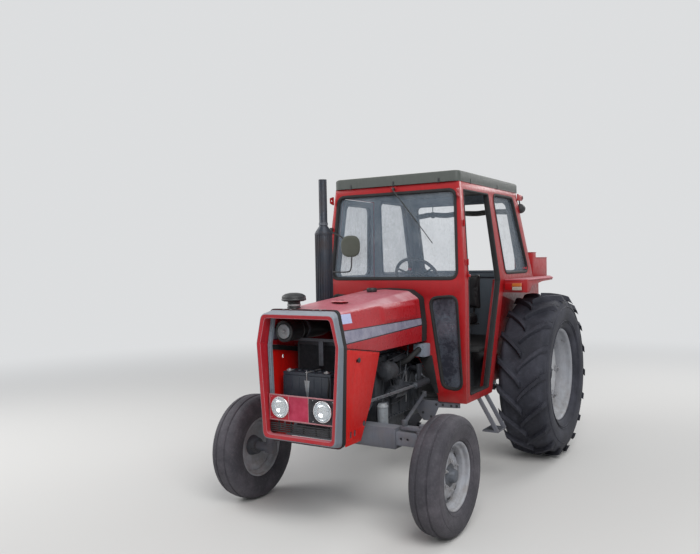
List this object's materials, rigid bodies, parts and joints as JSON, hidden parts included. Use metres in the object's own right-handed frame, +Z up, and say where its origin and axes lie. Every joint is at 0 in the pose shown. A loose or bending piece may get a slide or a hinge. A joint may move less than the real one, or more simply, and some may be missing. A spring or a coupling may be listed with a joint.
{
  "type": "farm tractor",
  "caption": "Farm tractor with a safety cab, big lugged rear wheels, ribbed front wheels, an open nose and a rear linkage.",
  "frame": {"origin": "on the ground, at the middle of the whole outline seen from above", "axes": "+X to the tractor's left, -Y forward towards the nose, +Z up"},
  "size_m": [1.99, 3.6929, 2.492],
  "materials": {
    "dark_casting": "greasy dark grey paint",
    "grey_frame": "worn mid grey paint",
    "greasy_engine": "oily dark grey",
    "engine_fittings": "dull grey",
    "radiator_core": "matt black",
    "battery_case": "blue black",
    "dark_paint": "dull black",
    "exhaust_steel": "heat dulled black",
    "grey_panel": "light grey blue",
    "ram_steel": "dull bright steel",
    "red_paint": "weathered bright red",
    "rubber_seal": "matt black",
    "lamp_glass": "clear lens",
    "black_grille": "matt black",
    "roof_panel": "grey green moulding",
    "floor_mat": "ribbed black",
    "window_glass": "clear",
    "lamp_lens": "amber over clear",
    "seat_vinyl": "black vinyl",
    "console_plastic": "dark grey",
    "wiper_black": "black",
    "mirror_back": "dull olive",
    "canvas": "dark canvas",
    "link_steel": "worn grey",
    "front_rubber": "dusty black",
    "rear_rubber": "dusty black",
    "silver_rim": "silver grey"
  },
  "bodies": {
    "chassis": {"front_support": "dark_casting", "front_axle_beam": "grey_frame", "engine_block": "greasy_engine", "engine_ancillaries": "engine_fittings", "radiator": "radiator_core", "battery": "battery_case", "air_cleaner": "dark_paint", "exhaust_stack": "exhaust_steel", "fuel_tank": "grey_panel", "transmission_case": "dark_casting", "rear_axle_housing": "dark_casting", "steering_ram": "ram_steel", "side_panels": "red_paint", "nose_surround": "red_paint", "nose_trim": "rubber_seal", "lamp_panel": "red_paint", "headlamps": "lamp_glass", "lower_grille": "black_grille", "cab_front_frame": "red_paint", "cab_side_left": "red_paint", "cab_side_right": "red_paint", "cab_rear_frame": "red_paint", "roof": "roof_panel", "cab_floor": "floor_mat", "cab_glass": "window_glass", "fenders": "red_paint", "stowage_box": "red_paint", "fender_lamps": "lamp_lens", "rear_lamps": "red_paint", "steps": "grey_frame", "seat": "seat_vinyl", "dash_console": "console_plastic", "wiper": "wiper_black", "mirror": "mirror_back", "rear_curtain": "canvas", "drawbar": "dark_casting"},
    "bonnet": {"bonnet": "red_paint", "pre_cleaner": "dark_paint"},
    "door_right": {"door_right": "red_paint", "door_glass": "window_glass"},
    "lower_links": {"lower_links": "link_steel"},
    "lift_arms": {"lift_arms": "link_steel"},
    "lift_rods": {"lift_rods": "link_steel"},
    "knuckle_left": {"knuckle_left": "grey_frame"},
    "knuckle_right": {"knuckle_right": "grey_frame"},
    "drag_link_left": {"drag_link_left": "link_steel"},
    "drag_link_right": {"drag_link_right": "link_steel"},
    "drop_arm_left": {"drop_arm_left": "link_steel"},
    "drop_arm_right": {"drop_arm_right": "link_steel"},
    "wheel_front_left": {"front_tyre_left": "front_rubber", "front_rim_left": "silver_rim"},
    "wheel_front_right": {"front_tyre_right": "front_rubber", "front_rim_right": "silver_rim"},
    "wheel_rear_left": {"rear_tyre_left": "rear_rubber", "rear_rim_left": "silver_rim"},
    "wheel_rear_right": {"rear_tyre_right": "rear_rubber", "rear_rim_right": "silver_rim"}
  },
  "joints": [
    {"name": "bonnet_hinge", "type": "hinge", "parent": "chassis", "child": "bonnet", "pos_m": [0, -1.7155, 1.48], "axis": [1, 0, 0], "range_deg": [0, 50]},
    {"name": "door_right_hinge", "type": "hinge", "parent": "chassis", "child": "door_right", "pos_m": [-0.642, 0.2285, 1.617], "axis": [-0.0871, 0.1239, -0.9885], "range_deg": [0, 65]},
    {"name": "steer_left", "type": "hinge", "parent": "chassis", "child": "knuckle_left", "pos_m": [0.64, -1.3185, 0.6], "axis": [0, 0, 1], "range_deg": [-40, 40]},
    {"name": "steer_right", "type": "hinge", "parent": "chassis", "child": "knuckle_right", "pos_m": [-0.64, -1.3185, 0.6], "axis": [0, 0, 1], "range_deg": [-40, 40]},
    {"name": "drag_link_left_pivot", "type": "hinge", "parent": "knuckle_left", "child": "drag_link_left", "pos_m": [0.505, -1.3185, 0.7026], "axis": [0, 0, 1], "range_deg": [-40, 40]},
    {"name": "drag_link_right_pivot", "type": "hinge", "parent": "knuckle_right", "child": "drag_link_right", "pos_m": [-0.505, -1.3185, 0.7026], "axis": [0, 0, 1], "range_deg": [-40, 40]},
    {"name": "drop_arm_left_swing", "type": "hinge", "parent": "chassis", "child": "drop_arm_left", "pos_m": [0.264, -0.5955, 0.96], "axis": [1, 0, 0], "range_deg": [-28, 28]},
    {"name": "drop_arm_right_swing", "type": "hinge", "parent": "chassis", "child": "drop_arm_right", "pos_m": [-0.264, -0.5955, 0.96], "axis": [1, 0, 0], "range_deg": [-28, 28]},
    {"name": "wheel_front_left_spin", "type": "hinge", "parent": "knuckle_left", "child": "wheel_front_left", "pos_m": [0.8035, -1.3185, 0.3935], "axis": [1, 0, 0], "continuous": true},
    {"name": "wheel_front_right_spin", "type": "hinge", "parent": "knuckle_right", "child": "wheel_front_right", "pos_m": [-0.8035, -1.3185, 0.3935], "axis": [1, 0, 0], "continuous": true},
    {"name": "wheel_rear_left_spin", "type": "hinge", "parent": "chassis", "child": "wheel_rear_left", "pos_m": [0.78, 0.9345, 0.7375], "axis": [1, 0, 0], "continuous": true},
    {"name": "wheel_rear_right_spin", "type": "hinge", "parent": "chassis", "child": "wheel_rear_right", "pos_m": [-0.78, 0.9345, 0.7375], "axis": [1, 0, 0], "continuous": true},
    {"name": "lower_links_lift", "type": "hinge", "parent": "chassis", "child": "lower_links", "pos_m": [0, 0.9945, 0.56], "axis": [1, 0, 0], "range_deg": [-6, 25]},
    {"name": "lift_arms_turn", "type": "hinge", "parent": "chassis", "child": "lift_arms", "pos_m": [0, 1.1865, 1.04], "axis": [1, 0, 0], "range_deg": [-12, 45]},
    {"name": "lift_rods_swing", "type": "hinge", "parent": "lift_arms", "child": "lift_rods", "pos_m": [0.232, 1.4495, 1.065], "axis": [1, 0, 0], "range_deg": [-40, 12]}
  ],
  "couplings": [
    {"joint": "steer_right", "follows": "steer_left", "ratio": 1},
    {"joint": "drag_link_left_pivot", "follows": "steer_left", "ratio": -1},
    {"joint": "drag_link_right_pivot", "follows": "steer_left", "ratio": -1},
    {"joint": "drop_arm_left_swing", "follows": "steer_left", "ratio": -0.675},
    {"joint": "drop_arm_right_swing", "follows": "steer_left", "ratio": 0.675},
    {"joint": "lift_arms_turn", "follows": "lower_links_lift", "ratio": 1.75},
    {"joint": "lift_rods_swing", "follows": "lower_links_lift", "ratio": -1.5}
  ]
}
